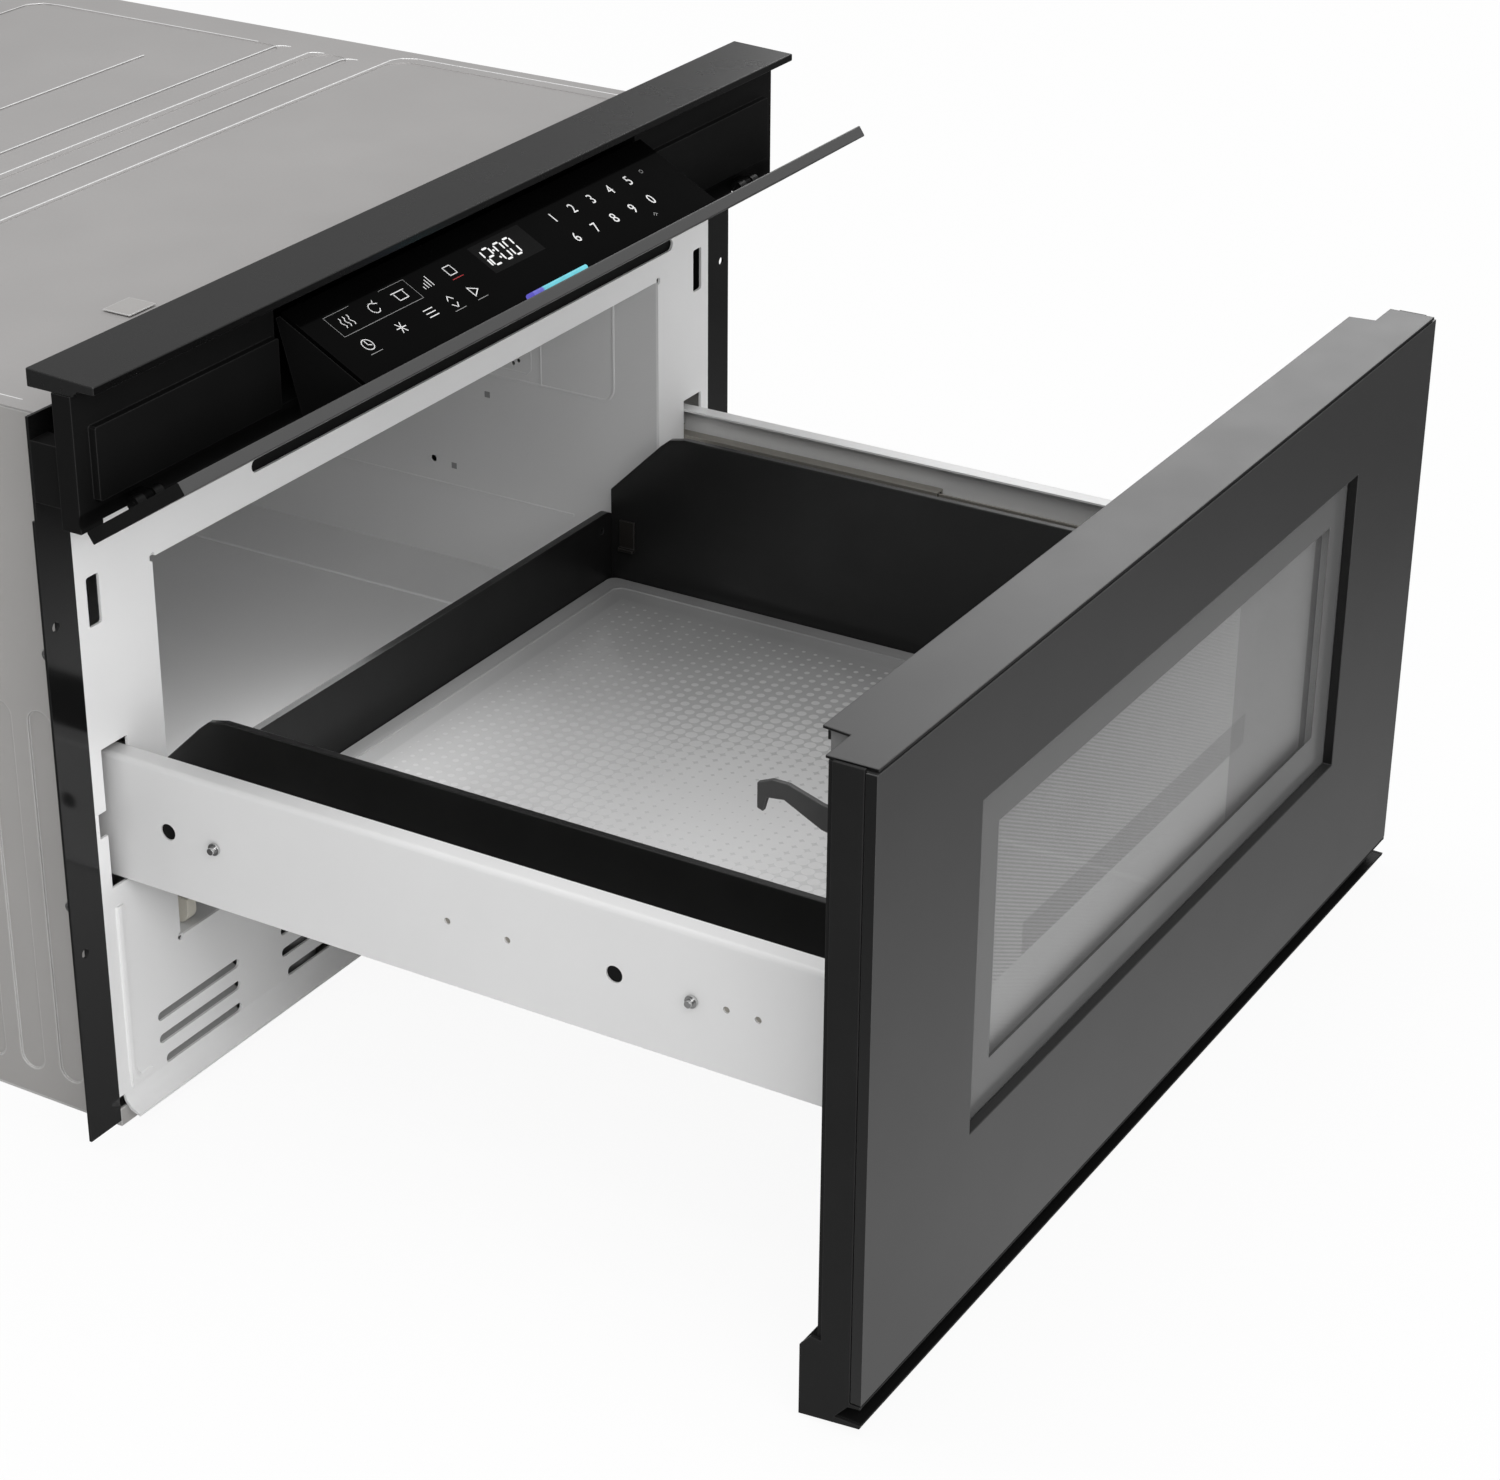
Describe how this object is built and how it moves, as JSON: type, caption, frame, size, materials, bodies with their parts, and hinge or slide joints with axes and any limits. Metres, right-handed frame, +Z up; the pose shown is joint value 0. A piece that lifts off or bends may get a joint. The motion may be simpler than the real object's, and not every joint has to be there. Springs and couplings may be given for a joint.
{
  "type": "microwave drawer",
  "caption": "Built-in microwave drawer with pull-out windowed drawer, glass tray, tilting control flap, telescopic rails and sheet-metal cabinet.",
  "frame": {"origin": "centre of the four flange screw holes, on the rear face of the mounting flanges that seats on the cupboard front", "axes": "+X to the right seen from the front, +Y rearward into the cupboard, +Z up"},
  "size_m": [0.6068, 0.985, 0.4107],
  "materials": {
    "galvanised": "brushed zinc-coated sheet",
    "white_enamel": "satin white paint",
    "cavity_paint": "satin light paint",
    "black_paint": "satin black paint",
    "visor_paint": "satin dark grey",
    "housing_plastic": "fine black texture",
    "flap_finish": "satin dark grey",
    "control_glass": "gloss black backed glass",
    "light_bar": "translucent",
    "door_metal": "brushed dark grey, satin",
    "window_glass": "tinted",
    "dark_plastic": "moulded, satin",
    "door_steel": "satin grey enamel",
    "drawer_paint": "satin black enamel",
    "tray_glass": "pressed glass",
    "slide_steel": "zinc plated",
    "cover_paint": "satin white paint",
    "screw_steel": "bright plated",
    "nylon": "natural nylon",
    "motor_steel": "plated can",
    "aluminium": "mill finish",
    "core_iron": "varnished laminations",
    "capacitor_can": "drawn can",
    "board": "board resin",
    "fan_plastic": "moulded",
    "lamp_steel": "pressed cup",
    "hook_steel": "dark plated",
    "rubber": "moulded",
    "pin_steel": "turned",
    "cover_resin": "microwave-clear board"
  },
  "bodies": {
    "cabinet": {"base_pan": "galvanised", "side_panel_left": "galvanised", "side_panel_right": "galvanised", "top_panel": "galvanised", "rear_panel": "galvanised", "front_frame": "white_enamel", "mounting_flanges": "black_paint", "cavity_roof": "cavity_paint", "cavity_floor": "cavity_paint", "cavity_walls": "cavity_paint", "cavity_back": "cavity_paint", "visor": "visor_paint", "control_housing": "housing_plastic", "slide_brackets": "galvanised", "slide_cabinet_members": "slide_steel", "drive_motor": "motor_steel", "latch_boards": "dark_plastic", "antenna_well": "cavity_paint", "antenna_cover": "cover_resin", "antenna_motor": "motor_steel", "waveguide": "galvanised", "magnetron": "aluminium", "high_voltage_transformer": "core_iron", "high_voltage_capacitor": "capacitor_can", "control_board": "board", "fan_housing": "fan_plastic", "cavity_lamp": "lamp_steel", "cord_bushing": "rubber"},
    "flap": {"flap_fascia": "flap_finish", "flap_hinge_pins": "pin_steel", "flap_wedge": "housing_plastic", "control_glass": "control_glass", "flap_light_bar": "light_bar"},
    "drawer": {"door_outer_panel": "door_metal", "door_window_glass": "window_glass", "door_window_frame": "dark_plastic", "door_core": "door_steel", "door_inner_cover": "dark_plastic", "door_top_cap": "door_metal", "door_end_cap_left": "dark_plastic", "door_end_cap_right": "dark_plastic", "door_bottom_trim": "dark_plastic", "drawer_side_left": "drawer_paint", "drawer_side_right": "drawer_paint", "drawer_back": "drawer_paint", "glass_tray": "tray_glass", "tray_clips": "dark_plastic", "drawer_glides": "nylon", "slide_drawer_members": "slide_steel", "rail_cover_left": "cover_paint", "rail_cover_right": "cover_paint", "rail_screws": "screw_steel", "drive_rack": "nylon"},
    "slide_middle_left": {"slide_middle_left": "slide_steel"},
    "slide_middle_right": {"slide_middle_right": "slide_steel"},
    "pinion": {"drive_pinion": "nylon"},
    "latch_hook_left": {"latch_hook_left": "hook_steel"},
    "latch_hook_right": {"latch_hook_right": "hook_steel"},
    "antenna": {"rotating_antenna": "aluminium"},
    "fan": {"fan_wheel": "fan_plastic"}
  },
  "joints": [
    {"name": "drawer_slide", "type": "slide", "parent": "cabinet", "child": "drawer", "axis": [0, 1, 0], "range_m": [0, 0.3914]},
    {"name": "slide_middle_left_run", "type": "slide", "parent": "cabinet", "child": "slide_middle_left", "axis": [0, 1, 0], "range_m": [0, 0.1957]},
    {"name": "slide_middle_right_run", "type": "slide", "parent": "cabinet", "child": "slide_middle_right", "axis": [0, 1, 0], "range_m": [0, 0.1957]},
    {"name": "pinion_spin", "type": "hinge", "parent": "cabinet", "child": "pinion", "pos_m": [-0.126, 0.0225, -0.1329], "axis": [0, 0, 1], "range_deg": [0, 1402]},
    {"name": "flap_hinge", "type": "hinge", "parent": "cabinet", "child": "flap", "pos_m": [0, -0.0351, 0.1478], "axis": [-1, 0, 0], "range_deg": [0, 56.65]},
    {"name": "latch_hook_left_tilt", "type": "hinge", "parent": "drawer", "child": "latch_hook_left", "pos_m": [-0.268, -0.4095, 0.0801], "axis": [1, 0, 0], "range_deg": [0, 6], "stiffness_Nm_per_rad": 0.03, "springref_deg": -11.46},
    {"name": "latch_hook_right_tilt", "type": "hinge", "parent": "drawer", "child": "latch_hook_right", "pos_m": [0.268, -0.4095, 0.0801], "axis": [1, 0, 0], "range_deg": [0, 6], "stiffness_Nm_per_rad": 0.03, "springref_deg": -11.46},
    {"name": "antenna_spin", "type": "hinge", "parent": "cabinet", "child": "antenna", "pos_m": [0, 0.2985, -0.1239], "axis": [0, 0, 1], "continuous": true},
    {"name": "fan_spin", "type": "hinge", "parent": "cabinet", "child": "fan", "pos_m": [-0.19, 0.5325, 0.0561], "axis": [0, 1, 0], "continuous": true}
  ],
  "couplings": [
    {"joint": "slide_middle_left_run", "follows": "drawer_slide", "ratio": 0.5},
    {"joint": "slide_middle_right_run", "follows": "drawer_slide", "ratio": 0.5},
    {"joint": "pinion_spin", "follows": "drawer_slide", "rad_per_m": 62.5}
  ]
}
